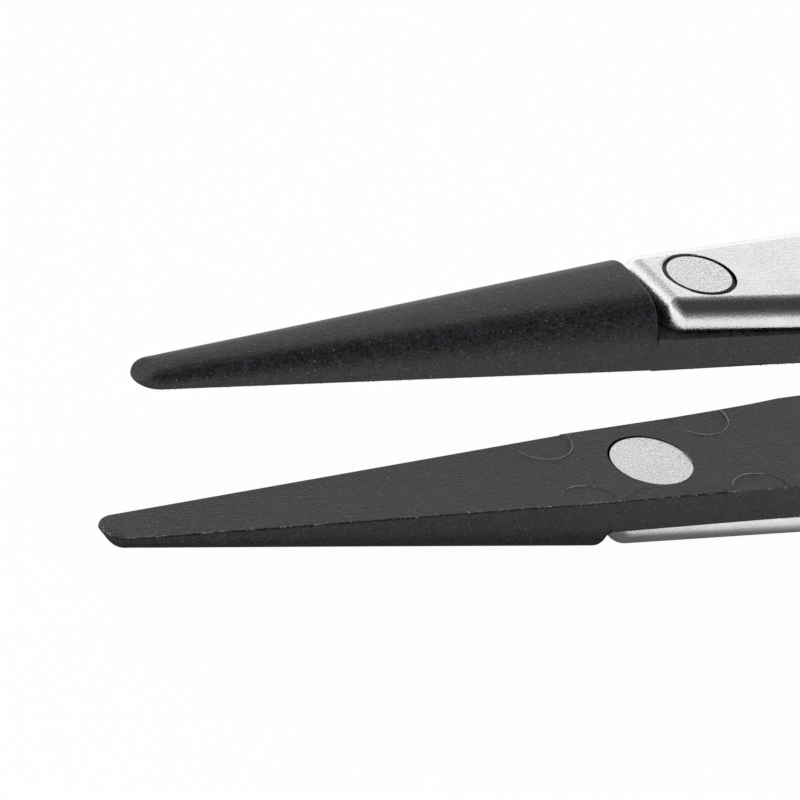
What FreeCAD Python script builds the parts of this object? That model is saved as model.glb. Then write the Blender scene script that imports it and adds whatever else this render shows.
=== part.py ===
import FreeCAD, Part
import Sketcher
import math
import os

# Anti-static tweezers: two stainless spring arms welded at the tail, each carrying
# a moulded conductive plastic tip on two flush rivets.
# World frame: X runs from the tips to the tail, Z is the way the tips open, the
# floor is at Z = 0 and the tweezers lie on the back of their lower arm.
# All lengths are in millimetres and all angles in degrees.

doc = FreeCAD.newDocument("anti_static_tweezers")
sheet = doc.addObject("Spreadsheet::Sheet", "Sizes")

SIZES = [
    # whole tweezers
    ("overall_length", "130", "tip end to tail end"),
    ("tip_gap", "11.44", "between the grip faces at the tip ends"),
    ("lean_angle", "0.89", "each grip face leans to the other towards the tail"),
    # moulded tip where its round end begins, half its width from the very end
    ("end_width", "3.03", "grip face"),
    ("end_side", "0.45", "upright side"),
    ("end_bevel_width", "2.52", "line between bevel and corner arc"),
    ("end_bevel_height", "0.81", "height of that line"),
    ("end_corner", "0.58", "radius of the corner arc"),
    ("end_back_width", "1.52", "line between corner arc and back"),
    ("end_back_height", "1.08", "height of that line"),
    ("end_crown", "3.10", "radius of the back"),
    ("end_nose_start", "0.10", "where the nose rounding starts, over the grip face"),
    ("end_nose_length", "2.10", "length of the nose rounding"),
    ("end_nose_height", "1.28", "where the nose rounding ends"),
    ("end_nose_radius", "3.00", "radius of the nose rounding"),
    # moulded tip at its shoulder
    ("shoulder_from_rivet", "4.87", "shoulder face to front rivet axis"),
    ("shoulder_width", "8.36", "grip face"),
    ("shoulder_bevel_width", "6.20", "line between bevel and corner arc"),
    ("shoulder_bevel_height", "4.20", "height of that line"),
    ("shoulder_corner", "1.25", "radius of the corner arc"),
    ("shoulder_back_width", "4.30", "line between corner arc and back"),
    ("shoulder_back_height", "4.74", "height of that line"),
    ("shoulder_crown", "46", "radius of the back"),
    ("shoulder_edge", "0.25", "slope of the shoulder's back edge"),
    ("grip_allowance", "0.50", "moulding under the grip face, trimmed off"),
    # tang that lies under the arm
    ("tang_thick", "2.41", "grip face to the arm's seat"),
    ("tang_wide_behind", "13", "end of the tang's taper, behind the front rivet"),
    ("tang_wide", "10.74", "width there"),
    ("tang_end_width", "11.00", "width at the tang's end"),
    ("tang_behind_rivet", "4.60", "rear rivet axis to tang end"),
    ("tang_end_corner", "2.00", "rounding of the tang's rear corners"),
    ("boss_recess", "0.25", "moulded ring stays under the arm's back by this"),
    # flush rivets
    ("rivet_from_tip", "41.28", "front rivet axis from the tip end"),
    ("rivet_spacing", "16", "front to rear rivet"),
    ("rivet_head_dia", "5.70", "broad head in the grip face"),
    ("rivet_head_thick", "1.00", "head"),
    ("rivet_head_recess", "0.05", "head stays under the grip face by this"),
    ("rivet_shank_dia", "4.46", "shank, seen in the arm's hole"),
    ("rivet_clearance", "0.01", "radial, shank in the moulded hole"),
    ("head_clearance", "0.05", "radial, head in its seat"),
    ("boss_clearance", "0.01", "radial, moulded ring in the arm's hole"),
    # ejector marks in the grip face, in pairs beside the front rivet
    ("ejector_dia", "4.20", "mark left by an ejector pin"),
    ("ejector_depth", "0.06", "depth of the mark"),
    ("ejector_ahead", "6.95", "front pair to the rivet axis, along the tip"),
    ("ejector_front_side", "3.80", "front pair to the centre line"),
    ("ejector_behind", "6.30", "rear pair to the rivet axis, along the tip"),
    ("ejector_rear_side", "4.30", "rear pair to the centre line, on one side"),
    ("ejector_rear_other", "5.00", "and on the other side"),
    # spring arms
    ("arm_thick", "2.10", "over the tang"),
    ("arm_front_gap", "0.35", "shoulder face to the arm's front end"),
    ("arm_front_half", "3.60", "half width at the front end"),
    ("arm_hole_dia", "5.04", "hole round the moulded ring"),
    ("arm_hole_edge", "0.06", "chamfer of that hole"),
    ("arm_back_round", "1.40", "rounding of the rim on the back"),
    ("arm_front_corner", "1.20", "rounding of the front corners, seen from above"),
    ("arm_tail_corner", "2.20", "rounding of the tail corners"),
    ("arm_wide_at", "55", "start of the even width, from the tip end"),
    ("arm_wide_half", "5.30", "half width there"),
    ("arm_taper_at", "102", "end of the even width, behind the bow"),
    ("arm_side_bend", "25", "bend radius of the sides"),
    ("arm_tail_half", "3.20", "half width at the tail"),
    # bow of the arms behind the seat
    ("seat_end", "62.40", "end of the flat seat, from the tip end"),
    ("seat_bend", "60", "bend radius at the seat's end"),
    ("bow_crest_behind", "18.71", "crest of the bow, behind the seat's end"),
    ("bow_roundness", "0.746", "bend radius of the back, as a share of the largest that fits"),
    ("bow_thick", "2.00", "arm at the bow's corner"),
    ("tail_weld", "7.77", "length over which the arms lie on each other"),
    ("tail_thick", "1.75", "arm at the tail"),
    ("tail_bend", "12", "bend radius where the arms meet"),
    # cutters
    ("spare", "6", "length by which a cutter passes its work"),
]

LEVEL = "rivet_level + tang_thick / lean_cos"
BACK_LEVEL = "rivet_level + (tang_thick + arm_thick) / lean_cos"
FORMULAS = [
    ("lean_tan", "tan(lean_angle * 1 deg)"),
    ("lean_cos", "cos(lean_angle * 1 deg)"),
    ("lean_sin", "sin(lean_angle * 1 deg)"),
    # measured along the tip, whose grip face leans
    ("tip_reach", "rivet_from_tip / lean_cos"),
    ("tang_reach", "rivet_spacing + tang_behind_rivet"),
    ("boss_height", "arm_thick - boss_recess"),
    ("back_level", "tang_thick + arm_thick"),
    # heights over the middle plane
    ("rivet_level", "tip_gap / 2 - rivet_from_tip * lean_tan"),
    ("end_crest", "end_back_height + end_crown"
     " - sqrt(end_crown ^ 2 - end_back_width ^ 2 / 4)"),
    ("shoulder_crest", "shoulder_back_height + shoulder_crown"
     " - sqrt(shoulder_crown ^ 2 - shoulder_back_width ^ 2 / 4)"),
    ("edge_share", "1 - shoulder_edge / shoulder_back_height"),
    ("rest_level", "rivet_level + (shoulder_from_rivet + shoulder_edge) * lean_sin"
     " + shoulder_crest * lean_cos"),
    # the arm is laid out from the tip end and the middle plane
    ("arm_front", "rivet_from_tip - shoulder_from_rivet + arm_front_gap"),
    ("front_seat", LEVEL + " + (rivet_from_tip - arm_front) * lean_tan"),
    ("front_back", BACK_LEVEL + " + (rivet_from_tip - arm_front) * lean_tan"),
    ("end_seat", LEVEL + " - (seat_end - rivet_from_tip) * lean_tan"),
    ("end_back", BACK_LEVEL + " - (seat_end - rivet_from_tip) * lean_tan"),
    # the bow is an arc, and a straight slope meets it from the seat and from the weld
    ("tail_at", "overall_length - tail_weld"),
    ("bow_run", "tail_at - seat_end - bow_crest_behind"),
    ("bow_drop", "rest_level - tail_thick"),
    ("bow_climb", "rest_level - end_back"),
    ("bow_radius", "bow_roundness * (bow_run ^ 2 + bow_drop ^ 2) / (2 * bow_drop)"),
    ("bow_fall", "(atan(bow_run / (bow_radius - bow_drop))"
     " - acos(bow_radius / sqrt(bow_run ^ 2 + (bow_radius - bow_drop) ^ 2))) / (1 deg)"),
    ("bow_rise", "(atan(bow_crest_behind / (bow_radius - bow_climb))"
     " - acos(bow_radius / sqrt(bow_crest_behind ^ 2 + (bow_radius - bow_climb) ^ 2)))"
     " / (1 deg)"),
    ("bow_turn", "(bow_rise + bow_fall) / 2"),
    ("bow_skew", "(bow_fall - bow_rise) / 2"),
    # the rounded bow is level with the shoulder, so both touch the floor
    ("bow_back", "rest_level + bow_radius * (cos(bow_skew * 1 deg) / cos(bow_turn * 1 deg) - 1)"),
    ("bow_at", "seat_end + (bow_back - end_back) / tan(bow_rise * 1 deg)"),
    ("bow_inner", "bow_back - bow_thick"),
    ("tail_inner_at", "tail_at - tail_thick * tan(bow_fall / 2 * 1 deg)"),
]

entries = [(alias, value, note) for alias, value, note in SIZES]
entries += [(alias, "=" + text, "follows from the sizes") for alias, text in FORMULAS]
for index, entry in enumerate(entries):
    sheet.setAlias("B%d" % (index + 1), entry[0])
for index, entry in enumerate(entries):
    sheet.set("A%d" % (index + 1), entry[0])
    sheet.set("B%d" % (index + 1), entry[1])
    sheet.set("C%d" % (index + 1), entry[2])
doc.recompute()

ALONG = FreeCAD.Vector(1, 0, 0)
ACROSS = FreeCAD.Vector(0, 1, 0)
UPWARD = FreeCAD.Vector(0, 0, 1)


class Term:
    """A length that knows both its value and its wording in the sheet."""

    def __init__(self, wording, value):
        self.wording = wording
        self.value = value

    def joined(self, sign, other, value):
        return Term("(%s %s %s)" % (self.wording, sign, term(other).wording), value)

    def __add__(self, other):
        return self.joined("+", other, self.value + term(other).value)

    def __sub__(self, other):
        return self.joined("-", other, self.value - term(other).value)

    def __mul__(self, other):
        return self.joined("*", other, self.value * term(other).value)

    def __truediv__(self, other):
        return self.joined("/", other, self.value / term(other).value)

    def __neg__(self):
        return Term("(-%s)" % self.wording, -self.value)


def term(thing):
    if isinstance(thing, Term):
        return thing
    return Term(str(thing), float(thing))


def size(alias):
    return Term("Sizes." + alias, float(sheet.get(alias)))


def bind(target, prop, length):
    target.setExpression(prop, term(length).wording)


# Sketching.


def new_sketch(body, name, role):
    sketch = body.newObject("Sketcher::SketchObject", name)
    for plane in body.Origin.OriginFeatures:
        if plane.Role == role:
            sketch.AttachmentSupport = (plane, [""])
    sketch.MapMode = "FlatFace"
    return sketch


def lift_sketch(sketch, height):
    # moves a sketch off its plane, along the plane's normal
    sketch.AttachmentOffset = FreeCAD.Placement(
        UPWARD * term(height).value,
        FreeCAD.Rotation(),
    )
    bind(sketch, "AttachmentOffset.Base.z", height)


def hold(sketch, kind, length, *place):
    # one driven dimension, under a name of its own
    arguments = list(place) + [term(length).value]
    index = sketch.addConstraint(Sketcher.Constraint(kind, *arguments))
    name = "held_%d" % sketch.ConstraintCount
    sketch.renameConstraint(index, name)
    bind(sketch, "Constraints." + name, length)


def hold_point(sketch, geometry, point, across, up):
    hold(sketch, "DistanceX", across, -1, 1, geometry, point)
    hold(sketch, "DistanceY", up, -1, 1, geometry, point)


def arc_between(start, stop, radius, turn_right):
    # short arc from start to stop that turns to the left or to the right
    chord = stop - start
    half = chord.Length / 2
    sagitta = radius - math.sqrt(radius * radius - half * half)
    out = FreeCAD.Vector(chord.y, -chord.x, 0).normalize() * (-1 if turn_right else 1)
    return Part.Arc(start, (start + stop) * 0.5 + out * sagitta, stop)


def add_outline(sketch, corners, arcs=None, hollows=None, bends=None):
    # closed outline, drawn to the left; arcs and hollows give a radius to the edge
    # after a corner, bulging out or in, and bends rounds a corner with a tangent arc
    hollows = hollows or {}
    arcs = {**(arcs or {}), **hollows}
    bends = bends or {}
    places = [FreeCAD.Vector(term(x).value, term(y).value, 0) for x, y in corners]
    first = sketch.GeometryCount
    count = len(corners)
    for index in range(count):
        follow = places[(index + 1) % count]
        if index in arcs:
            radius = term(arcs[index]).value
            edge = arc_between(places[index], follow, radius, index in hollows)
        else:
            edge = Part.LineSegment(places[index], follow)
        sketch.addGeometry(edge)
    # an arc that turns right is stored from its stop to its start
    starts = [2 if index in hollows else 1 for index in range(count)]
    for index in range(count):
        follow = (index + 1) % count
        sketch.addConstraint(Sketcher.Constraint(
            "Coincident", first + index, 3 - starts[index], first + follow, starts[follow]))
    for index, corner in enumerate(corners):
        hold_point(sketch, first + index, starts[index], corner[0], corner[1])
    for index, radius in arcs.items():
        hold(sketch, "Radius", radius, first + index)
    for index, radius in bends.items():
        bend = sketch.GeometryCount
        sketch.fillet(first + index, 1, term(radius).value, True, True)
        hold(sketch, "Radius", radius, bend)


def add_circle(sketch, across, up, diameter):
    centre = FreeCAD.Vector(term(across).value, term(up).value, 0)
    circle = Part.Circle(centre, UPWARD, term(diameter).value / 2)
    geometry = sketch.addGeometry(circle)
    hold_point(sketch, geometry, 3, across, up)
    hold(sketch, "Diameter", diameter, geometry)


# Features.


def add_pad(body, name, sketch, length, both_ways=False):
    pad = body.newObject("PartDesign::Pad", name)
    pad.Profile = sketch
    if both_ways:
        pad.SideType = "Symmetric"
    bind(pad, "Length", length)
    doc.recompute()
    return pad


def add_pocket(body, name, sketch, depth=None, upward=True):
    # takes the sketch's area away, to a depth over or under it, or right through
    before = body.Tip.Shape.Volume
    pocket = body.newObject("PartDesign::Pocket", name)
    pocket.Profile = sketch
    if depth is None:
        pocket.SideType = "Symmetric"
        pocket.Type = "ThroughAll"
    else:
        pocket.Reversed = upward
        bind(pocket, "Length", depth)
    doc.recompute()
    if not pocket.Shape.Volume < before:
        raise ValueError("takes nothing away: " + name)
    return pocket


def add_loft(body, name, first, last):
    loft = body.newObject("PartDesign::AdditiveLoft", name)
    loft.Profile = first
    loft.Sections = [last]
    doc.recompute()


def add_revolution(body, name, sketch, angle):
    # turns the sketch about its own upright axis, half the angle to each side
    turned = body.newObject("PartDesign::Revolution", name)
    turned.Profile = sketch
    turned.ReferenceAxis = (sketch, ["V_Axis"])
    turned.Angle = angle
    turned.Midplane = True
    doc.recompute()


def edges_where(feature, wanted):
    names = []
    for index, edge in enumerate(feature.Shape.Edges):
        middle = edge.valueAt((edge.FirstParameter + edge.LastParameter) / 2)
        if wanted(edge, middle):
            names.append("Edge%d" % (index + 1))
    if not names:
        raise ValueError("no such edge on " + feature.Name)
    return names


def add_chamfer(body, name, wanted, length):
    base = body.Tip
    chamfer = body.newObject("PartDesign::Chamfer", name)
    chamfer.Base = (base, edges_where(base, wanted))
    bind(chamfer, "Size", length)
    doc.recompute()


# A spring arm. It is drawn as the upper arm, in the plane of its side view, and
# measured from the tip end and the middle plane: a flat seat over the tang, a bow
# for the fingers, then down to the tail, where the two arms meet.


def round_back_rim(body, name, radius):
    # the rim where the upright walls meet the back
    base = body.Tip

    def on_back_rim(edge, middle):
        walls = 0
        backs = 0
        for face in base.Shape.ancestorsOfType(edge, Part.Face):
            place = face.Surface.parameter(middle)
            up = face.normalAt(place[0], place[1]).z
            if abs(up) < 0.3:
                walls += 1
            elif up > 0.8:
                backs += 1
        return walls == 1 and backs == 1

    fillet = body.newObject("PartDesign::Fillet", name)
    fillet.Base = (base, edges_where(base, on_back_rim))
    bind(fillet, "Radius", radius)
    doc.recompute()


def build_arm(name):
    body = doc.addObject("PartDesign::Body", name)
    profile = new_sketch(body, name + "_profile", "XZ_Plane")
    add_outline(profile, [
        (size("arm_front"), size("front_seat")),
        (size("seat_end"), size("end_seat")),
        (size("bow_at"), size("bow_inner")),
        (size("tail_inner_at"), 0),
        (size("overall_length"), 0),
        (size("overall_length"), size("tail_thick")),
        (size("tail_at"), size("tail_thick")),
        (size("bow_at"), size("bow_back")),
        (size("seat_end"), size("end_back")),
        (size("arm_front"), size("front_back")),
    ], bends={
        1: size("seat_bend") + size("arm_thick"),
        2: size("bow_radius") - size("bow_thick"),
        3: size("tail_bend"),
        6: size("tail_bend") - size("tail_thick"),
        7: size("bow_radius"),
        8: size("seat_bend"),
    })
    add_pad(body, name + "_strip", profile, (size("arm_wide_half") + size("spare")) * 2, True)

    waste = new_sketch(body, name + "_waste", "XY_Plane")
    start = size("arm_front") - size("spare")
    stop = size("overall_length") + size("spare")
    side = size("arm_wide_half") + size("spare") * 2
    add_outline(waste, [(start, -side), (stop, -side), (stop, side), (start, side)])
    add_outline(waste, [
        (size("arm_front"), -size("arm_front_half")),
        (size("arm_wide_at"), -size("arm_wide_half")),
        (size("arm_taper_at"), -size("arm_wide_half")),
        (size("overall_length"), -size("arm_tail_half")),
        (size("overall_length"), size("arm_tail_half")),
        (size("arm_taper_at"), size("arm_wide_half")),
        (size("arm_wide_at"), size("arm_wide_half")),
        (size("arm_front"), size("arm_front_half")),
    ], bends={
        0: size("arm_front_corner"),
        1: size("arm_side_bend"),
        2: size("arm_side_bend"),
        3: size("arm_tail_corner"),
        4: size("arm_tail_corner"),
        5: size("arm_side_bend"),
        6: size("arm_side_bend"),
        7: size("arm_front_corner"),
    })
    add_pocket(body, name + "_outline", waste)
    round_back_rim(body, name + "_back_rim", size("arm_back_round"))

    # two holes square to the seat, round the moulded rings of the tang
    holes = new_sketch(body, name + "_holes", "XY_Plane")
    seat = FreeCAD.Placement(
        FreeCAD.Vector(size("rivet_from_tip").value, 0, size("rivet_level").value),
        FreeCAD.Rotation(ACROSS, size("lean_angle").value),
    )
    holes.AttachmentOffset = seat
    bind(holes, "AttachmentOffset.Base.x", size("rivet_from_tip"))
    bind(holes, "AttachmentOffset.Base.z", size("rivet_level"))
    bind(holes, "AttachmentOffset.Rotation.Angle", size("lean_angle"))
    add_circle(holes, 0, 0, size("arm_hole_dia"))
    add_circle(holes, size("rivet_spacing"), 0, size("arm_hole_dia"))
    add_pocket(body, name + "_drilled", holes)

    def hole_mouth(edge, middle):
        height = seat.inverse().multVec(middle).z
        return edge.isClosed() and abs(height - size("back_level").value) < 0.001

    add_chamfer(body, name + "_hole_edges", hole_mouth, size("arm_hole_edge"))
    return body


# A moulded tip with its tang. Its own frame has the grip face in the XY plane, the
# front rivet's axis at the origin and Z to the back. The body of the tip is skinned
# from a small section at its end to a large one at the shoulder: upright side,
# bevel, corner arc and a crowned back. It is moulded a little too deep and trimmed
# level with the tang, which makes one flat grip face.


def tip_section(body, name, place, word, share=1):
    # share draws the bevel, the corner arcs and the back smaller
    sketch = new_sketch(body, name, "YZ_Plane")
    lift_sketch(sketch, place)
    foot = size(word + "_width") / 2
    side = size("tang_thick") if word == "shoulder" else size("end_side")
    bevel = size(word + "_bevel_width") / 2 * share
    bevel_height = size(word + "_bevel_height") * share
    back = size(word + "_back_width") / 2 * share
    back_height = size(word + "_back_height") * share
    corner = size(word + "_corner") * share
    crown = size(word + "_crown") * share
    corners = [
        (-foot, -size("grip_allowance")),
        (foot, -size("grip_allowance")),
        (foot, side),
        (bevel, bevel_height),
        (back, back_height),
        (-back, back_height),
        (-bevel, bevel_height),
        (-foot, side),
    ]
    add_outline(sketch, corners, {3: corner, 4: crown, 5: corner})
    return sketch


def build_tip(name):
    body = doc.addObject("PartDesign::Body", name)
    tip_end = -size("tip_reach")
    turn = size("end_width") / 2
    end = tip_section(body, name + "_end", tip_end + turn, "end")
    front = -size("shoulder_from_rivet")
    place = front - size("shoulder_edge")
    shoulder = tip_section(body, name + "_shoulder", place, "shoulder")
    face = tip_section(body, name + "_shoulder_face", front, "shoulder", size("edge_share"))
    doc.recompute()
    add_loft(body, name + "_skin", end, shoulder)
    add_loft(body, name + "_shoulder_edge", shoulder, face)

    # half the end section, turned about an upright axis, makes the round end
    half = new_sketch(body, name + "_half_end", "XZ_Plane")
    half.AttachmentOffset = FreeCAD.Placement(ALONG * (tip_end + turn).value, FreeCAD.Rotation())
    bind(half, "AttachmentOffset.Base.x", tip_end + turn)
    add_outline(half, [
        (-turn, -size("grip_allowance")),
        (0, -size("grip_allowance")),
        (0, size("end_crest")),
        (-size("end_back_width") / 2, size("end_back_height")),
        (-size("end_bevel_width") / 2, size("end_bevel_height")),
        (-turn, size("end_side")),
    ], {2: size("end_crown"), 3: size("end_corner")})
    add_revolution(body, name + "_round_end", half, 180)

    tang = new_sketch(body, name + "_tang", "XY_Plane")
    front_half = size("shoulder_width") / 2
    add_outline(tang, [
        (front, -front_half),
        (size("tang_wide_behind"), -size("tang_wide") / 2),
        (size("tang_reach"), -size("tang_end_width") / 2),
        (size("tang_reach"), size("tang_end_width") / 2),
        (size("tang_wide_behind"), size("tang_wide") / 2),
        (front, front_half),
    ], bends={2: size("tang_end_corner"), 3: size("tang_end_corner")})
    add_pad(body, name + "_tang_plate", tang, size("tang_thick"))

    trim = new_sketch(body, name + "_trim", "XY_Plane")
    clear = tip_end - size("spare")
    wide = size("shoulder_width") / 2 + size("spare")
    add_outline(trim, [(clear, -wide), (0, -wide), (0, wide), (clear, wide)])
    add_pocket(body, name + "_trimmed", trim, size("grip_allowance") + size("spare"), False)

    # the back slopes down to a blunt nose
    nose = new_sketch(body, name + "_nose_waste", "XZ_Plane")
    top = size("end_nose_height") + size("spare")
    nose_stop = tip_end + size("end_nose_length")
    add_outline(nose, [
        (clear, size("end_nose_start")),
        (tip_end, size("end_nose_start")),
        (nose_stop, size("end_nose_height")),
        (nose_stop, top),
        (clear, top),
    ], hollows={1: size("end_nose_radius")})
    add_pocket(body, name + "_nose_round", nose)

    rings = new_sketch(body, name + "_rings", "XY_Plane")
    lift_sketch(rings, size("tang_thick"))
    ring_dia = size("arm_hole_dia") - size("boss_clearance") * 2
    for place in (0, size("rivet_spacing")):
        add_circle(rings, place, 0, ring_dia)
    add_pad(body, name + "_moulded_rings", rings, size("boss_height"))

    shanks = new_sketch(body, name + "_shanks", "XY_Plane")
    heads = new_sketch(body, name + "_heads", "XY_Plane")
    for place in (0, size("rivet_spacing")):
        add_circle(shanks, place, 0, size("rivet_shank_dia") + size("rivet_clearance") * 2)
        add_circle(heads, place, 0, size("rivet_head_dia") + size("head_clearance") * 2)
    add_pocket(body, name + "_shank_holes", shanks)
    add_pocket(body, name + "_head_seats", heads,
               size("rivet_head_thick") + size("rivet_head_recess"))

    marks = new_sketch(body, name + "_marks", "XY_Plane")
    mark_places = [
        (-size("ejector_ahead"), -size("ejector_front_side")),
        (-size("ejector_ahead"), size("ejector_front_side")),
        (size("ejector_behind"), -size("ejector_rear_side")),
        (size("ejector_behind"), size("ejector_rear_other")),
    ]
    for place in mark_places:
        add_circle(marks, place[0], place[1], size("ejector_dia"))
    add_pocket(body, name + "_ejector_marks", marks, size("ejector_depth"))
    return body


# A flush rivet. Its own frame has the grip face at Z = 0 and Z to the back: a broad
# head sunk in the grip face and a shank that ends level with the arm's back.


def build_rivet(name):
    body = doc.addObject("PartDesign::Body", name)
    half = new_sketch(body, name + "_half", "XZ_Plane")
    low = size("rivet_head_recess")
    under = low + size("rivet_head_thick")
    head = size("rivet_head_dia") / 2
    shank = size("rivet_shank_dia") / 2
    top = size("back_level")
    add_outline(half, [
        (0, low),
        (head, low),
        (head, under),
        (shank, under),
        (shank, top),
        (0, top),
    ])
    add_revolution(body, name + "_turned", half, 360)
    return body


# Assembly. The lower half is the upper half turned over about the long axis.

to_floor = FreeCAD.Placement(
    FreeCAD.Vector(-size("overall_length").value / 2, 0, size("rest_level").value),
    FreeCAD.Rotation(),
)
lean = FreeCAD.Placement(
    FreeCAD.Vector(size("rivet_from_tip").value, 0, size("rivet_level").value),
    FreeCAD.Rotation(ACROSS, size("lean_angle").value),
)
rear = FreeCAD.Placement(ALONG * size("rivet_spacing").value, FreeCAD.Rotation())
halves = {
    "upper": FreeCAD.Placement(),
    "lower": FreeCAD.Placement(FreeCAD.Vector(), FreeCAD.Rotation(ALONG, 180)),
}

bodies = []
for half_name, turn_over in halves.items():
    arm = build_arm(half_name + "_arm")
    arm.Placement = to_floor * turn_over
    tip = build_tip(half_name + "_tip")
    tip.Placement = to_floor * turn_over * lean
    front_rivet = build_rivet(half_name + "_front_rivet")
    front_rivet.Placement = to_floor * turn_over * lean
    rear_rivet = build_rivet(half_name + "_rear_rivet")
    rear_rivet.Placement = to_floor * turn_over * lean * rear
    bodies += [arm, tip, front_rivet, rear_rivet]
doc.recompute()

for item in doc.Objects:
    if "Invalid" in item.State or "Error" in item.State:
        raise ValueError("not built: " + item.Name)

os.makedirs("parts", exist_ok=True)
for body in bodies:
    body.Label = body.Name
    shape = body.Shape
    if shape.isNull() or not shape.isValid() or len(shape.Solids) != 1:
        raise ValueError("bad solid: " + body.Name)
    shape.exportStep("parts/" + body.Label + ".step")
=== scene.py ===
import math

import bmesh
import bpy
from mathutils import Matrix, Vector


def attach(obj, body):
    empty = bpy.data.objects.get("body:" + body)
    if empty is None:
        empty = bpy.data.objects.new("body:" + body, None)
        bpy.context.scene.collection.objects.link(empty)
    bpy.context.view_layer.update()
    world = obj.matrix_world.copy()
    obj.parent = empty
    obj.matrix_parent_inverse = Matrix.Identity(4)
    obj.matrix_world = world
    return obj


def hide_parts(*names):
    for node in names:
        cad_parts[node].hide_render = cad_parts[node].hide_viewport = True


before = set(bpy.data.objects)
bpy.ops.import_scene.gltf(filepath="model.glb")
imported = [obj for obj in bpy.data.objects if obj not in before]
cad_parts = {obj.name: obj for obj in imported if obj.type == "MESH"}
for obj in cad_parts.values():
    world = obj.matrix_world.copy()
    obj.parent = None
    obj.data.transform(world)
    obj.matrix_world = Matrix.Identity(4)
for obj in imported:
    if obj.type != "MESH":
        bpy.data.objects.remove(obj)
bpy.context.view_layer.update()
scene = bpy.context.scene

# Camera. It looks down on the tips from the near left, turned a little about its own
# axis, so that the tips run level across the picture and the arms leave it on the right.
CAMERA_PLACE = Vector((-0.28324, -0.35323, 0.26242))
CAMERA_RIGHT = Vector((0.87116, -0.45123, 0.19359))
CAMERA_BACK = Vector((-0.48262, -0.71442, 0.50664))
LENS_MM = 341.7

turn = Matrix((CAMERA_RIGHT, CAMERA_BACK.cross(CAMERA_RIGHT), CAMERA_BACK)).transposed()
lens = bpy.data.cameras.new("camera")
lens.sensor_width = 36
lens.lens = LENS_MM
camera = bpy.data.objects.new("camera", lens)
camera.matrix_world = Matrix.Translation(CAMERA_PLACE) @ turn.to_4x4()
scene.collection.objects.link(camera)
scene.camera = camera


# Spring arms. Stainless steel strip, about 2 mm thick, blanked, bent and welded at the
# tail. The strip is tumbled, which rounds its rims and leaves a satin finish with a fine
# even grain. The copies add the small rounding of the inner rims.
MM = 0.001
ARM_INNER_ROUND = 0.40 * MM
INNER_ROUND_STEPS = 4
ARM_SHARP_DEG = 60
ARM_SMOOTH_DEG = 40
FLAT_WITHIN_DEG = 0.2
RIVET_AXES_X = (-23.72 * MM, -7.72 * MM)
ARM_HOLE_REACH = 3.0 * MM
HOLE_RADII = (2.49 * MM, 2.61 * MM)
HOLE_LONGER = 1.095
ARM_FRONT_X = -28.24 * MM
FRONT_REACH = 4.2 * MM
# how far the front corners are ground back, and the span across over which it grows
FAR_DRAW, FAR_SPAN = 0.85 * MM, (1.4 * MM, 3.6 * MM)
NEAR_DRAW, NEAR_SPAN = 1.05 * MM, (1.0 * MM, -3.6 * MM)
DRAW_LIMIT = 1.3
DRAW_POWER, FADE_POWER = 2, 1.5
# each arm's flat back falls by this share of the way along it
ARM_FALL = 0.0155
SAME_POINT = 0.001 * MM
FLAT_WEIGHT = 100


def linear(code):
    # sRGB hex to the values that a colour socket takes
    parts = [int(code[start:start + 2], 16) / 255 for start in (1, 3, 5)]
    return [p / 12.92 if p <= 0.04045 else ((p + 0.055) / 1.055) ** 2.4 for p in parts] + [1]


def per(mm):
    # texture scale of a pattern whose features are this many millimetres wide
    return 1000 / mm


def add_node(tree, kind, inputs=None, **settings):
    # adds one node with its settings, and with its inputs set or linked
    node = tree.nodes.new(kind)
    for name, value in settings.items():
        setattr(node, name, value)
    for name, value in (inputs or {}).items():
        if isinstance(value, bpy.types.NodeSocket):
            tree.links.new(value, node.inputs[name])
        else:
            node.inputs[name].default_value = value
    return node


def new_material(name):
    # an empty material and the place on the piece in metres
    material = bpy.data.materials.new(name)
    material.use_nodes = True
    tree = material.node_tree
    tree.nodes.clear()
    place = add_node(tree, "ShaderNodeTexCoord").outputs["Object"]
    return material, tree, place


def shine(tree, shader):
    add_node(tree, "ShaderNodeOutputMaterial", {"Surface": shader.outputs[0]})


def joined_copy(node):
    # a copy of a node's mesh with its loose triangles joined and its stored normals left out
    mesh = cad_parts[node].data.copy()
    if "custom_normal" in mesh.attributes:
        mesh.attributes.remove(mesh.attributes["custom_normal"])
    shape = bmesh.new()
    shape.from_mesh(mesh)
    bpy.data.meshes.remove(mesh)
    bmesh.ops.remove_doubles(shape, verts=shape.verts, dist=SAME_POINT)
    return shape


def new_piece(name, shape, material, smooth_deg):
    # an object with a finished shape, smooth but for the edges that turn more than this
    mesh = bpy.data.meshes.new(name)
    shape.to_mesh(mesh)
    shape.free()
    mesh.shade_smooth()
    mesh.set_sharp_from_angle(angle=math.radians(smooth_deg))
    mesh.materials.append(material)
    piece = bpy.data.objects.new(name, mesh)
    scene.collection.objects.link(piece)
    return piece


def weigh_flats(piece):
    # lets the flats keep their level shade next to their rounded rims
    shade = piece.modifiers.new("even_shade", "WEIGHTED_NORMAL")
    shade.keep_sharp = True
    shade.weight = FLAT_WEIGHT


def settle(piece, node):
    # a piece that stands for a node of the source
    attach(piece, "root")
    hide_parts(node)


# Tumbled stainless steel: satin, nearly white, with soft reflections and a faint even grain.
STEEL_LIGHT = linear("#f4f4f6")
STEEL_DARK = linear("#dedee1")
# the real grain is finer; it is drawn at two pixels, so that it shows
STEEL_GRAIN_MM = 0.15
STEEL_CLOUD_MM = 2.4
STEEL_GRAIN_DEPTH = 0.018 * MM

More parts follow.
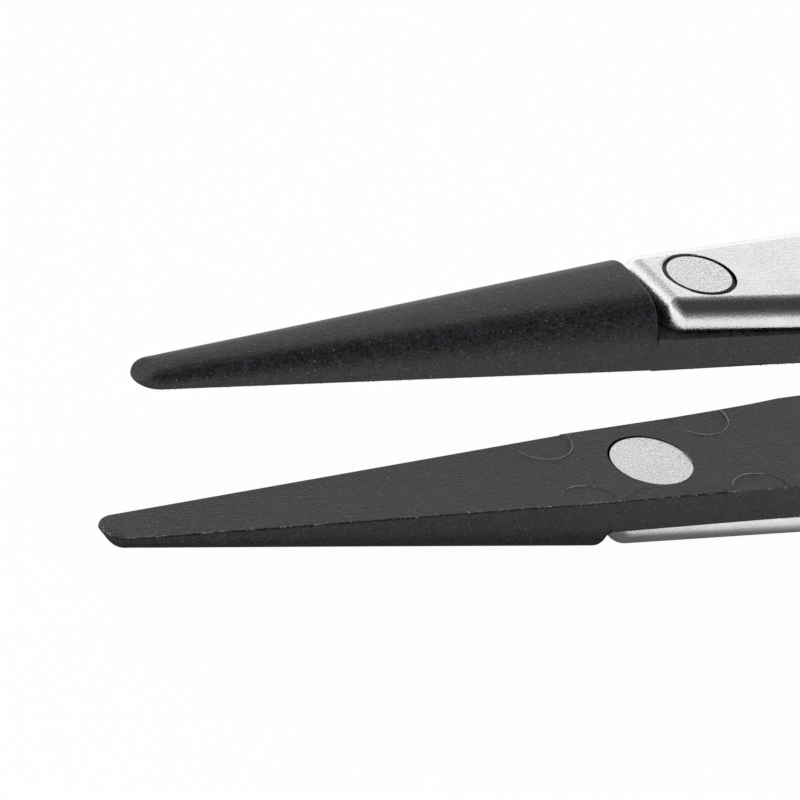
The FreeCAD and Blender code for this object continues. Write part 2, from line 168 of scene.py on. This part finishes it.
satin_steel, tree, place = new_material("satin_stainless_steel")
grain = add_node(tree, "ShaderNodeTexNoise", {
    "Vector": place, "Scale": per(STEEL_GRAIN_MM), "Detail": 3.0, "Roughness": 0.6})
cloud = add_node(tree, "ShaderNodeTexNoise", {
    "Vector": place, "Scale": per(STEEL_CLOUD_MM), "Detail": 2.0})
tone = add_node(tree, "ShaderNodeMix", {
    "Factor": cloud.outputs["Fac"], "A": STEEL_DARK, "B": STEEL_LIGHT}, data_type="RGBA")
gloss = add_node(tree, "ShaderNodeMapRange", {
    "Value": grain.outputs["Fac"], "From Min": 0.3, "From Max": 0.7,
    "To Min": 0.12, "To Max": 0.36})
bump = add_node(tree, "ShaderNodeBump", {
    "Height": grain.outputs["Fac"], "Strength": 1.0, "Distance": STEEL_GRAIN_DEPTH})
metal = add_node(tree, "ShaderNodeBsdfPrincipled", {
    "Base Color": tone.outputs["Result"], "Metallic": 1.0,
    "Roughness": gloss.outputs["Result"], "Normal": bump.outputs["Normal"]})
shine(tree, metal)

for side in ("upper", "lower"):
    shape = joined_copy(side + "_arm")
    bmesh.ops.dissolve_limit(
        shape, angle_limit=math.radians(FLAT_WITHIN_DEG),
        verts=shape.verts, edges=shape.edges)
    rims = []
    for edge in shape.edges:
        clear = all(
            math.hypot(corner.co.x - x, corner.co.y) > ARM_HOLE_REACH
            for corner in edge.verts for x in RIVET_AXES_X)
        if clear and edge.calc_face_angle(0) > math.radians(ARM_SHARP_DEG):
            rims.append(edge)
    bmesh.ops.bevel(
        shape, geom=rims, offset=ARM_INNER_ROUND, offset_type="OFFSET",
        segments=INNER_ROUND_STEPS, profile=0.5, affect="EDGES", clamp_overlap=True)
    for corner in shape.verts:
        # the front corners are ground back in a wide arc, the near one more than the other
        reach = (corner.co.x - ARM_FRONT_X) / FRONT_REACH
        for draw, (start, full) in ((FAR_DRAW, FAR_SPAN), (NEAR_DRAW, NEAR_SPAN)):
            beside = (corner.co.y - start) / (full - start)
            if reach < 1 and beside > 0:
                fade = (1 - max(0, reach)) ** FADE_POWER
                back = draw * min(DRAW_LIMIT, beside) ** DRAW_POWER * fade
                corner.co.x += back
                corner.co.z -= back * ARM_FALL * (1 if side == "upper" else -1)
        # the holes are punched a little long
        for x in RIVET_AXES_X:
            if HOLE_RADII[0] < math.hypot(corner.co.x - x, corner.co.y) < HOLE_RADII[1]:
                corner.co.x = x + (corner.co.x - x) * HOLE_LONGER
                break
    arm = new_piece(side + "_arm_strip", shape, satin_steel, ARM_SMOOTH_DEG)
    weigh_flats(arm)
    settle(arm, side + "_arm")


# Moulded tips. Black conductive plastic filled with carbon, injection moulded, with a
# matt skin that shows fine grain and tiny pale specks of filler. The front is a soft
# tapered form with a round end; the tang behind it lies under the arm.
TIP_LENGTH = 36.41 * MM
TIP_LEAN = math.radians(0.89)
MIDDLE = 9.948 * MM
HALF_GAP = 5.72 * MM
TIP_END_X = -65 * MM
# half widths and heights of the section where the round end begins, and at the shoulder
END_HALF, SHOULDER_HALF = 1.515 * MM, 4.18 * MM
END_FLAT, SHOULDER_FLAT = 0.30 * MM, 1.50 * MM
END_SIDE, SHOULDER_SIDE = 0.28 * MM, 1.75 * MM
END_CREST, SHOULDER_CREST = 1.175 * MM, 4.79 * MM
# the crown's rise as a share of its height
CROWN_SHARE = 0.012
# the arc in which the nose falls, the rise behind it, and how soft it meets the crown
NOSE_MIDDLE = (2.396 * MM, -1.705 * MM)
NOSE_RADIUS = 3.0 * MM
NOSE_RISE = 1.2
NOSE_SOFT = 9
TANG_THICK = 2.41 * MM
SHOULDER_EDGE = 0.32 * MM
# over this height above the tang the shoulder's rounding sets in
SHOULDER_FADE = 0.5 * MM
CORNER_STEPS = 12
CROWN_STEPS = 6
NOSE_STEPS = 12
# below this height the side of the round end stands straight
LATHE_FROM = 0.2 * MM
BODY_STEPS = 30
BODY_CROWDING = 1.4
EDGE_STEPS = 5
# the front of a tip meets its tang across a seam too fine to see
SEAM = 0.001 * MM
MARK_RADIUS = 2.1 * MM
MARK_DEPTH = 0.012 * MM
MARK_STEPS = 72
# the solid's marks lie between these depths
SOLID_MARK_DEPTHS = (0.01 * MM, 0.1 * MM)
RIM_ROUND = 0.13 * MM
RIM_STEPS = 3
RIM_SHORTEST = 0.005 * MM
NOSE_TIP = 0.1 * MM
# a place counts as on the grip face or on an outline within these
ON_FACE = 0.001 * MM
ON_OUTLINE = 0.98
ON_CIRCLE = 0.02 * MM
# front ejector marks: from the tip end, from the middle, radius, on the grip face
FRONT_MARKS = ((34.60 * MM, 3.76 * MM, 2.28 * MM), (34.50 * MM, -3.93 * MM, 2.10 * MM))
REAR_MARKS = {"upper": (5.00 * MM, -4.30 * MM), "lower": (4.30 * MM, -5.00 * MM)}
REAR_MARK_AT = 47.58 * MM
REAR_MARK_MOVED = (Vector((-0.33, -0.25, 0)) * MM, Vector((-0.29, 0.17, 0)) * MM)
HEAD_AT = 41.28 * MM
SEAT_RADIUS = 2.90 * MM
SEAT_WORN = 0.15 * MM
SEAT_WORN_WAY = math.radians(132)
TIP_SMOOTH_DEG = 48
# Moulded plastic filled with carbon: matt and nearly black, with a fine grain and tiny
# pale specks of filler.
PLASTIC_DARK = linear("#040405")
PLASTIC_LIGHT = linear("#323238")
SPECK_PALE = linear("#8c8c92")
# the real grain is finer; it is drawn at two pixels, so that it shows
PLASTIC_GRAIN_MM = 0.17
PLASTIC_CLOUD_MM = 0.9
SPECK_CELL_MM = 0.24
PLASTIC_GRAIN_DEPTH = 0.08 * MM

tip_plastic, tree, place = new_material("carbon_filled_conductive_plastic")
grain = add_node(tree, "ShaderNodeTexNoise", {
    "Vector": place, "Scale": per(PLASTIC_GRAIN_MM), "Detail": 3.0, "Roughness": 0.65})
cloud = add_node(tree, "ShaderNodeTexNoise", {
    "Vector": place, "Scale": per(PLASTIC_CLOUD_MM), "Detail": 4.0, "Roughness": 0.6})
mottle = add_node(tree, "ShaderNodeMix", {
    "Factor": 0.22, "A": grain.outputs["Fac"], "B": cloud.outputs["Fac"]}, data_type="FLOAT")
level = add_node(tree, "ShaderNodeMapRange", {
    "Value": mottle.outputs["Result"], "From Min": 0.40, "From Max": 0.64})
tone = add_node(tree, "ShaderNodeMix", {
    "Factor": level.outputs["Result"], "A": PLASTIC_DARK, "B": PLASTIC_LIGHT}, data_type="RGBA")
cells = add_node(tree, "ShaderNodeTexVoronoi", {
    "Vector": place, "Scale": per(SPECK_CELL_MM), "Randomness": 1.0})
small = add_node(tree, "ShaderNodeMapRange", {
    "Value": cells.outputs["Distance"], "From Min": 0.06, "From Max": 0.24,
    "To Min": 1.0, "To Max": 0.0})
pick = add_node(tree, "ShaderNodeSeparateColor", {"Color": cells.outputs["Color"]})
few = add_node(tree, "ShaderNodeMapRange", {
    "Value": pick.outputs[0], "From Min": 0.5, "From Max": 1.05})
speck = add_node(tree, "ShaderNodeMath", {
    0: small.outputs["Result"], 1: few.outputs["Result"]}, operation="MULTIPLY")
skin = add_node(tree, "ShaderNodeMix", {
    "Factor": speck.outputs[0], "A": tone.outputs["Result"], "B": SPECK_PALE}, data_type="RGBA")
gloss = add_node(tree, "ShaderNodeMapRange", {
    "Value": grain.outputs["Fac"], "From Min": 0.3, "From Max": 0.7,
    "To Min": 0.34, "To Max": 0.50})
bump = add_node(tree, "ShaderNodeBump", {
    "Height": grain.outputs["Fac"], "Strength": 1.0, "Distance": PLASTIC_GRAIN_DEPTH})
plastic = add_node(tree, "ShaderNodeBsdfPrincipled", {
    "Base Color": skin.outputs["Result"], "IOR": 1.5, "Specular IOR Level": 0.46,
    "Roughness": gloss.outputs["Result"], "Normal": bump.outputs["Normal"]})
shine(tree, plastic)


def tip_frame(side):
    # from the tip's own frame, along its grip face and out to its back, to the world
    up = 1 if side == "upper" else -1
    along = Vector((math.cos(TIP_LEAN), 0, -up * math.sin(TIP_LEAN)))
    out = Vector((math.sin(TIP_LEAN), 0, up * math.cos(TIP_LEAN)))
    turn = Matrix((along, Vector((0, 1, 0)), out)).transposed().to_4x4()
    return Matrix.Translation((TIP_END_X, 0, MIDDLE + up * HALF_GAP)) @ turn


def section(along):
    # half of the section's outline at a place along the tip, from its foot to the middle
    share = (along - END_HALF) / (TIP_LENGTH - END_HALF)
    half = END_HALF + (SHOULDER_HALF - END_HALF) * share
    flat = END_FLAT + (SHOULDER_FLAT - END_FLAT) * share
    foot = END_SIDE + (SHOULDER_SIDE - END_SIDE) * share
    crest = END_CREST + (SHOULDER_CREST - END_CREST) * share
    crown = CROWN_SHARE * crest
    line = [(half, 0.0), (half, foot * 0.5)]
    for step in range(CORNER_STEPS + 1):
        lift = math.pi / 2 * step / CORNER_STEPS
        line.append((
            flat + (half - flat) * math.cos(lift),
            foot + (crest - crown - foot) * math.sin(lift)))
    for step in range(1, CROWN_STEPS + 1):
        side = flat * (1 - step / CROWN_STEPS)
        line.append((side, crest - crown * (side / flat) ** 2))
    return line


def nose_height(along):
    # the nose falls in an arc to the very end
    middle, level = NOSE_MIDDLE
    if along < middle:
        return level + math.sqrt(NOSE_RADIUS ** 2 - (middle - along) ** 2)
    return level + NOSE_RADIUS + (along - middle) * NOSE_RISE


def under_nose(height, along):
    # the lower of the two heights, with a soft change from one to the other
    limit = nose_height(along)
    return (height ** -NOSE_SOFT + limit ** -NOSE_SOFT) ** (-1 / NOSE_SOFT)


def lathe_share(end_line, reach, height):
    # the round end is the end section turned about its own middle
    for (outer, low), (inner, high) in zip(end_line[2:], end_line[3:]):
        if inner <= reach <= outer and outer > inner:
            mixed = low + (high - low) * (outer - reach) / (outer - inner)
            return mixed / height
    return end_line[2][1] / height


def tip_sections():
    # each station along the tip with its half outline
    rows = []
    end_line = section(END_HALF)
    for step in range(1, NOSE_STEPS):
        turn = math.pi / 2 * step / NOSE_STEPS
        along = END_HALF * (1 - math.cos(turn))
        wide = math.sin(turn)
        row = []
        for side, height in end_line:
            reach = math.hypot(END_HALF - along, side * wide)
            if height > LATHE_FROM:
                height *= lathe_share(end_line, reach, height)
                height = under_nose(height, along)
            row.append((side * wide, height))
        rows.append((along, row))
    for step in range(BODY_STEPS + 1):
        share = (step / BODY_STEPS) ** BODY_CROWDING
        along = END_HALF + (TIP_LENGTH - SHOULDER_EDGE - END_HALF) * share
        rows.append((along, [
            (side, under_nose(height, along) if height > 0 else 0.0)
            for side, height in section(along)]))
    for step in range(1, EDGE_STEPS + 1):
        turn = math.pi / 2 * step / EDGE_STEPS
        along = TIP_LENGTH - SHOULDER_EDGE * (1 - math.sin(turn))
        inset = SHOULDER_EDGE * (1 - math.cos(turn))
        line = section(along)
        row = []
        for index, (side, height) in enumerate(line):
            free = min(1, max(0, (height - TANG_THICK) / SHOULDER_FADE))
            before, after = line[max(0, index - 1)], line[min(len(line) - 1, index + 1)]
            across = Vector((before[1] - after[1], after[0] - before[0])).normalized()
            row.append((
                side + across.x * inset * free if index < len(line) - 1 else 0.0,
                height - abs(across.y) * inset * free))
        rows.append((along, row))
    return rows


def tip_front(side):
    # the front of the tip as a closed skin over its stations
    rows = tip_sections()
    shape = bmesh.new()
    place = tip_frame(side)
    rings = []
    for along, row in rows:
        near = [shape.verts.new(place @ Vector((along, -y, z))) for y, z in row]
        far = [shape.verts.new(place @ Vector((along, y, z))) for y, z in reversed(row[:-1])]
        rings.append(near + far)
    for ring, follow in zip(rings, rings[1:]):
        count = len(ring)
        for index in range(count):
            after = (index + 1) % count
            shape.faces.new((ring[index], ring[after], follow[after], follow[index]))
    shape.faces.new(rings[0])
    shape.faces.new(rings[-1])
    bmesh.ops.recalc_face_normals(shape, faces=shape.faces)
    return shape


def tip_tang(side):
    # the tang of the CAD model, from the shoulder on, with the rivet's seat a little worn
    shape = joined_copy(side + "_tip")
    place = tip_frame(side)
    along = (place.to_3x3() @ Vector((1, 0, 0))).normalized()
    bmesh.ops.bisect_plane(
        shape, geom=shape.verts[:] + shape.edges[:] + shape.faces[:],
        plane_co=place @ Vector((TIP_LENGTH + SEAM, 0, 0)), plane_no=along, clear_inner=True)
    bmesh.ops.holes_fill(shape, edges=[edge for edge in shape.edges if edge.is_boundary])
    back = place.inverted()
    lowest, highest = SOLID_MARK_DEPTHS
    for corner in shape.verts:
        spot = back @ corner.co
        if lowest < spot.z < highest:
            spot.z = MARK_DEPTH
            corner.co = place @ spot
        reach = math.hypot(spot.x - HEAD_AT, spot.y)
        if abs(reach - SEAT_RADIUS) < ON_CIRCLE:
            way = math.atan2(spot.y, spot.x - HEAD_AT)
            worn = SEAT_WORN * max(0, math.cos(way - SEAT_WORN_WAY))
            spot.x += worn * math.cos(way)
            spot.y += worn * math.sin(way)
            corner.co = place @ spot
        for across, moved in zip(REAR_MARKS[side], REAR_MARK_MOVED):
            reach = math.hypot(spot.x - REAR_MARK_AT, spot.y - across)
            if abs(reach - MARK_RADIUS) < ON_CIRCLE:
                corner.co = place @ (spot + moved)
    return shape


def round_rim(shape, side):
    # the long rims of the grip face and the round end's rim are a little rounded
    back = tip_frame(side).inverted()
    rims = []
    for edge in shape.edges:
        ends = [back @ corner.co for corner in edge.verts]
        outer = True
        for spot in ends:
            half = section(max(END_HALF, min(TIP_LENGTH, spot.x)))[0][0]
            at_side = abs(spot.y) > ON_OUTLINE * half
            reach = math.hypot(spot.x - END_HALF, spot.y)
            at_end = spot.x < END_HALF and reach > ON_OUTLINE * END_HALF
            outer = outer and (at_side or at_end)
        low = all(abs(spot.z) < ON_FACE for spot in ends)
        lengthwise = abs(ends[0].x - ends[1].x) > RIM_SHORTEST or ends[0].x < NOSE_TIP
        sharp = edge.calc_face_angle(0) > math.radians(ARM_SHARP_DEG)
        if outer and low and lengthwise and sharp:
            rims.append(edge)
    bmesh.ops.bevel(
        shape, geom=rims, offset=RIM_ROUND, offset_type="OFFSET", segments=RIM_STEPS,
        profile=0.5, affect="EDGES", clamp_overlap=False)
    bmesh.ops.recalc_face_normals(shape, faces=shape.faces)


def cut_marks(piece, side):
    # sinks the front ejector marks into the grip face
    marks = bmesh.new()
    place = tip_frame(side)
    for along, across, radius in FRONT_MARKS:
        spot = place @ Matrix.Translation((along, across, 0))
        bmesh.ops.create_cone(
            marks, cap_ends=True, segments=MARK_STEPS, radius1=radius, radius2=radius,
            depth=MARK_DEPTH * 2, matrix=spot)
    bmesh.ops.recalc_face_normals(marks, faces=marks.faces)
    mesh = bpy.data.meshes.new("mark_cutter")
    marks.to_mesh(mesh)
    marks.free()
    cutter = bpy.data.objects.new("mark_cutter", mesh)
    scene.collection.objects.link(cutter)
    cut = piece.modifiers.new("marks", "BOOLEAN")
    cut.operation = "DIFFERENCE"
    cut.solver = "EXACT"
    cut.object = cutter
    graph = bpy.context.evaluated_depsgraph_get()
    done = bpy.data.meshes.new_from_object(piece.evaluated_get(graph))
    piece.modifiers.remove(cut)
    piece.data = done
    bpy.data.objects.remove(cutter)


for side in ("upper", "lower"):
    shape = tip_front(side)
    round_rim(shape, side)
    tip = new_piece(side + "_tip_moulding", shape, tip_plastic, TIP_SMOOTH_DEG)
    cut_marks(tip, side)
    whole = bmesh.new()
    whole.from_mesh(tip.data)
    tang_mesh = bpy.data.meshes.new(side + "_tang")
    tang = tip_tang(side)
    round_rim(tang, side)
    tang.to_mesh(tang_mesh)
    tang.free()
    whole.from_mesh(tang_mesh)
    whole.to_mesh(tip.data)
    whole.free()
    tip.data.shade_smooth()
    tip.data.set_sharp_from_angle(angle=math.radians(TIP_SMOOTH_DEG))
    weigh_flats(tip)
    settle(tip, side + "_tip")


# Mould flash. Thin pale threads of torn plastic stand round the ejector marks, at the edge
# of the rivet's seat and along the near parting edge of each tip.
# Torn plastic, stretched pale where it tore.
FLASH_PALE = linear("#d0d0d4")
FLASH_GREY = linear("#6e6e72")
CHIP_STEP_MM = 0.05
CHIP_SMOOTH_DEG = 180
CHIP_NOISE_MM = 0.7
# how far chips stray from their line
THREAD_SPREAD = (0.01 * MM, 0.01 * MM, 0.0)
EDGE_SPREAD = (0.12 * MM, 0.09 * MM, 0.03 * MM)
# arcs on the grip face in millimetres and degrees: middle along and across, radius, first
# and last angle, cover, chip size
FLASH_ARCS = (
    (34.60, 3.76, 2.27, 205, 366, 0.85, 0.038),
    (34.50, -3.93, 2.11, 55, 140, 0.60, 0.036),
    (47.25, 4.17, 2.11, 215, 335, 0.85, 0.038),
    (47.25, 4.17, 2.11, 335, 376, 0.98, 0.060),
    (47.27, -4.95, 2.12, 60, 150, 0.70, 0.036),
    (41.28, 0.0, 2.87, -80, 12, 0.50, 0.038),
    (41.28, 0.0, 2.90, 190, 280, 0.50, 0.026),
)
EDGE_FLASH_COVER = 0.42
EDGE_FLASH_SIZE = 0.028
EDGE_FLASH_INSET = 0.13 * MM
TANG_EDGE = ((36.41, 4.05), (54.28, 5.21), (60.0, 5.30))
# the turn of the round end that the near edge's flash covers, and the points on each line
END_TURN = range(-30, 90, 5)
EDGE_POINTS = 36
ARC_POINTS = 40

pale_flash, tree, place = new_material("torn_plastic_flash")
grain = add_node(tree, "ShaderNodeTexNoise", {
    "Vector": place, "Scale": per(PLASTIC_GRAIN_MM), "Detail": 2.0})
tone = add_node(tree, "ShaderNodeMix", {
    "Factor": grain.outputs["Fac"], "A": FLASH_GREY, "B": FLASH_PALE}, data_type="RGBA")
torn = add_node(tree, "ShaderNodeBsdfPrincipled", {
    "Base Color": tone.outputs["Result"], "Roughness": 0.6})
shine(tree, torn)


def chip_tree():
    # chips along a line: dense or sparse by cover, all of about one size
    tree = bpy.data.node_groups.new("flash_chips", "GeometryNodeTree")
    for name, kind in (
            ("Line", "NodeSocketGeometry"), ("Step", "NodeSocketFloat"),
            ("Size", "NodeSocketFloat"), ("Cover", "NodeSocketFloat"),
            ("Noise scale", "NodeSocketFloat"), ("Spread", "NodeSocketVector"),
            ("Finish", "NodeSocketMaterial")):
        tree.interface.new_socket(name, in_out="INPUT", socket_type=kind)
    tree.interface.new_socket("Chips", in_out="OUTPUT", socket_type="NodeSocketGeometry")
    given = add_node(tree, "NodeGroupInput").outputs
    line = add_node(tree, "GeometryNodeMeshToCurve", {"Mesh": given["Line"]})
    spots = add_node(tree, "GeometryNodeCurveToPoints", {
        "Curve": line.outputs["Curve"], "Length": given["Step"]}, mode="LENGTH")
    noise = add_node(tree, "ShaderNodeTexNoise", {
        "Vector": add_node(tree, "GeometryNodeInputPosition").outputs["Position"],
        "Scale": given["Noise scale"], "Detail": 3.0, "Roughness": 0.7})
    level = add_node(tree, "ShaderNodeMapRange", {
        "Value": noise.outputs["Fac"], "From Min": 0.3, "From Max": 0.7})
    bare = add_node(tree, "FunctionNodeCompare", {
        0: level.outputs["Result"], 1: given["Cover"]}, operation="GREATER_THAN")
    left = add_node(tree, "GeometryNodeDeleteGeometry", {
        "Geometry": spots.outputs["Points"], "Selection": bare.outputs["Result"]})
    stray = add_node(tree, "FunctionNodeRandomValue", {
        0: (-1, -1, -1), 1: (1, 1, 1), "Seed": 7}, data_type="FLOAT_VECTOR")
    shift = add_node(tree, "ShaderNodeVectorMath", {
        0: stray.outputs["Value"], 1: given["Spread"]}, operation="MULTIPLY")
    strewn = add_node(tree, "GeometryNodeSetPosition", {
        "Geometry": left.outputs["Geometry"], "Offset": shift.outputs["Vector"]})
    chip = add_node(tree, "GeometryNodeMeshIcoSphere", {
        "Radius": given["Size"], "Subdivisions": 1})
    lean = add_node(tree, "FunctionNodeRandomValue", {
        0: (-3.1, -3.1, -3.1), 1: (3.1, 3.1, 3.1), "Seed": 3}, data_type="FLOAT_VECTOR")
    spread = add_node(tree, "FunctionNodeRandomValue", {
        0: (0.5, 0.5, 0.5), 1: (1.5, 1.2, 1.2), "Seed": 5}, data_type="FLOAT_VECTOR")
    chips = add_node(tree, "GeometryNodeInstanceOnPoints", {
        "Points": strewn.outputs["Geometry"], "Instance": chip.outputs["Mesh"],
        "Rotation": lean.outputs["Value"], "Scale": spread.outputs["Value"]})
    whole = add_node(tree, "GeometryNodeRealizeInstances", {
        "Geometry": chips.outputs["Instances"]})
    done = add_node(tree, "GeometryNodeSetMaterial", {
        "Geometry": whole.outputs["Geometry"], "Material": given["Finish"]})
    add_node(tree, "NodeGroupOutput", {"Chips": done.outputs["Geometry"]})
    return tree


def edge_line():
    # the near parting edge, from beyond the round end to the tang
    line = []
    reach = END_HALF - EDGE_FLASH_INSET
    for degrees in END_TURN:
        turn = math.radians(degrees)
        line.append((END_HALF - reach * math.cos(turn), -reach * math.sin(turn)))
    for step in range(EDGE_POINTS + 1):
        along = END_HALF + (TIP_LENGTH - END_HALF) * step / EDGE_POINTS
        line.append((along, EDGE_FLASH_INSET - section(along)[0][0]))
    line += [(along * MM, -half * MM) for along, half in TANG_EDGE]
    return line


flash_chips = chip_tree()
for side in ("upper", "lower"):
    lines = [(edge_line(), EDGE_FLASH_COVER, EDGE_FLASH_SIZE, EDGE_SPREAD)]
    for middle, across, radius, first, last, cover, size in FLASH_ARCS:
        arc = []
        for step in range(ARC_POINTS + 1):
            way = math.radians(first + (last - first) * step / ARC_POINTS)
            arc.append((
                (middle + radius * math.cos(way)) * MM,
                (across + radius * math.sin(way)) * MM))
        lines.append((arc, cover, size, THREAD_SPREAD))
    place = tip_frame(side)
    chips = bmesh.new()
    for line, cover, size, spread in lines:
        mesh = bpy.data.meshes.new("flash_line")
        mesh.from_pydata(
            [place @ Vector((along, across, 0)) for along, across in line],
            [(index, index + 1) for index in range(len(line) - 1)], [])
        guide = bpy.data.objects.new("flash_line", mesh)
        scene.collection.objects.link(guide)
        modifier = guide.modifiers.new("chips", "NODES")
        modifier.node_group = flash_chips
        sockets = {item.name: item.identifier for item in flash_chips.interface.items_tree}
        modifier[sockets["Step"]] = CHIP_STEP_MM * MM
        modifier[sockets["Size"]] = size * MM
        modifier[sockets["Cover"]] = cover
        modifier[sockets["Noise scale"]] = per(CHIP_NOISE_MM)
        modifier[sockets["Spread"]] = spread
        modifier[sockets["Finish"]] = pale_flash
        graph = bpy.context.evaluated_depsgraph_get()
        done = bpy.data.meshes.new_from_object(guide.evaluated_get(graph))
        chips.from_mesh(done)
        bpy.data.objects.remove(guide)
    flash = new_piece(side + "_tip_flash", chips, pale_flash, CHIP_SMOOTH_DEG)
    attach(flash, "root")


# Flush rivets. Turned stainless steel: a broad head, fine blasted, sunk in the grip face,
# and a shank that ends ground level with the arm's back.
# Blasted stainless steel: matt and pale, with a fine sparkle of light and grey grains.
RIVET_LIGHT = linear("#ffffff")
RIVET_DARK = linear("#b4b4bc")
BLAST_GRAIN_MM = 0.12
BLAST_DEPTH = 0.03 * MM

rivet_steel, tree, place = new_material("blasted_stainless_steel")
grain = add_node(tree, "ShaderNodeTexNoise", {
    "Vector": place, "Scale": per(BLAST_GRAIN_MM), "Detail": 2.0, "Roughness": 0.6})
level = add_node(tree, "ShaderNodeMapRange", {
    "Value": grain.outputs["Fac"], "From Min": 0.28, "From Max": 0.6})
tone = add_node(tree, "ShaderNodeMix", {
    "Factor": level.outputs["Result"], "A": RIVET_DARK, "B": RIVET_LIGHT}, data_type="RGBA")
bump = add_node(tree, "ShaderNodeBump", {
    "Height": grain.outputs["Fac"], "Strength": 1.0, "Distance": BLAST_DEPTH})
metal = add_node(tree, "ShaderNodeBsdfPrincipled", {
    "Base Color": tone.outputs["Result"], "Metallic": 1.0, "Roughness": 0.30,
    "Normal": bump.outputs["Normal"]})
shine(tree, metal)
for side in ("upper", "lower"):
    for pair in ("front", "rear"):
        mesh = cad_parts["%s_%s_rivet" % (side, pair)].data
        mesh.materials.clear()
        mesh.materials.append(rivet_steel)


# Studio. A white table under the tweezers and a soft white room that is dark overhead in
# front, which gives the steel rims and the soft edges of the tips their dark band.
TABLE_HALF = 6.0
TABLE_WHITE = linear("#f4f4f4")
TABLE_PLAIN = 0.97
# in reflections the table carries painted shade close to the tweezers, where it would lie in
# their shade
SHADE_FROM = 4.2 * MM
SHADE_TO = 8.8 * MM
SHADE_DEEP = 0.12
WALL_WHITE = 0.86
CEILING_GREY = 0.32
CEILING_DARK = 0.05
DARK_MIDDLE = Vector((0.25, -0.35, 0.90)).normalized()
WALL_TOP_DEG = 62.6
CEILING_RIM_DEG = 70.0
CEILING_DEG = 32.0

table_mesh = bpy.data.meshes.new("table")
table_mesh.from_pydata(
    [(x * TABLE_HALF, y * TABLE_HALF, 0) for x, y in ((-1, -1), (1, -1), (1, 1), (-1, 1))],
    [], [(0, 1, 2, 3)])
table = bpy.data.objects.new("table", table_mesh)
scene.collection.objects.link(table)

white_table, tree, place = new_material("white_table")
rays = add_node(tree, "ShaderNodeLightPath")
seen = add_node(tree, "ShaderNodeMath", {
    0: rays.outputs["Is Camera Ray"], 1: rays.outputs["Is Glossy Ray"]}, operation="MAXIMUM")
seen = add_node(tree, "ShaderNodeMath", {
    0: seen.outputs[0], 1: rays.outputs["Is Transmission Ray"]}, operation="MAXIMUM")
share = add_node(tree, "ShaderNodeMath", {
    0: seen.outputs[0], 1: TABLE_PLAIN}, operation="MULTIPLY")
spot = add_node(tree, "ShaderNodeSeparateXYZ", {"Vector": place})
beside = add_node(tree, "ShaderNodeMath", {0: spot.outputs["Y"]}, operation="ABSOLUTE")
# painted shade: glossy rays see the table's glow fall off the nearer it lies to the tweezers'
# middle line
shade = add_node(tree, "ShaderNodeMapRange", {
    "Value": beside.outputs[0], "From Min": SHADE_FROM, "From Max": SHADE_TO,
    "To Min": SHADE_DEEP, "To Max": 1.0}, interpolation_type="SMOOTHSTEP")
bright = add_node(tree, "ShaderNodeMath", {
    0: shade.outputs["Result"], 1: rays.outputs["Is Camera Ray"]}, operation="MAXIMUM")
lit = add_node(tree, "ShaderNodeBsdfDiffuse", {"Color": TABLE_WHITE})
plain = add_node(tree, "ShaderNodeEmission", {
    "Color": (1, 1, 1, 1), "Strength": bright.outputs[0]})
mixed = add_node(tree, "ShaderNodeMixShader", {
    0: share.outputs[0], 1: lit.outputs[0], 2: plain.outputs[0]})
shine(tree, mixed)
table_mesh.materials.append(white_table)

world = bpy.data.worlds.new("studio")
world.use_nodes = True
scene.world = world
tree = world.node_tree
tree.nodes.clear()
way = add_node(tree, "ShaderNodeTexCoord").outputs["Generated"]
near = add_node(tree, "ShaderNodeVectorMath", {
    0: way, 1: tuple(DARK_MIDDLE)}, operation="DOT_PRODUCT")
wall = add_node(tree, "ShaderNodeMapRange", {
    "Value": near.outputs["Value"],
    "From Min": math.cos(math.radians(CEILING_RIM_DEG)),
    "From Max": math.cos(math.radians(WALL_TOP_DEG)),
    "To Min": WALL_WHITE, "To Max": 0.0}, interpolation_type="SMOOTHSTEP")
ceiling = add_node(tree, "ShaderNodeMapRange", {
    "Value": near.outputs["Value"],
    "From Min": math.cos(math.radians(WALL_TOP_DEG)),
    "From Max": math.cos(math.radians(CEILING_DEG)),
    "To Min": CEILING_GREY, "To Max": CEILING_DARK})
room = add_node(tree, "ShaderNodeMath", {
    0: wall.outputs["Result"], 1: ceiling.outputs["Result"]}, operation="ADD")
sky = add_node(tree, "ShaderNodeBackground", {
    "Color": (1, 1, 1, 1), "Strength": room.outputs[0]})
add_node(tree, "ShaderNodeOutputWorld", {"Surface": sky.outputs[0]})

# a broad lamp high in front gives the plain soft light; polished steel doesn't show it
LAMP_PLACE = Vector((-0.3, -0.5, 1.1))
LAMP_SIZE = (1.2, 1.0)
LAMP_WATTS = 9.0
lamp_light = bpy.data.lights.new("lamp", "AREA")
lamp_light.shape = "RECTANGLE"
lamp_light.size, lamp_light.size_y = LAMP_SIZE
lamp_light.energy = LAMP_WATTS
lamp = bpy.data.objects.new("lamp", lamp_light)
lamp.location = LAMP_PLACE
lamp.rotation_euler = LAMP_PLACE.to_track_quat("Z", "Y").to_euler()
lamp.visible_glossy = False
scene.collection.objects.link(lamp)

scene.view_settings.view_transform = "Standard"
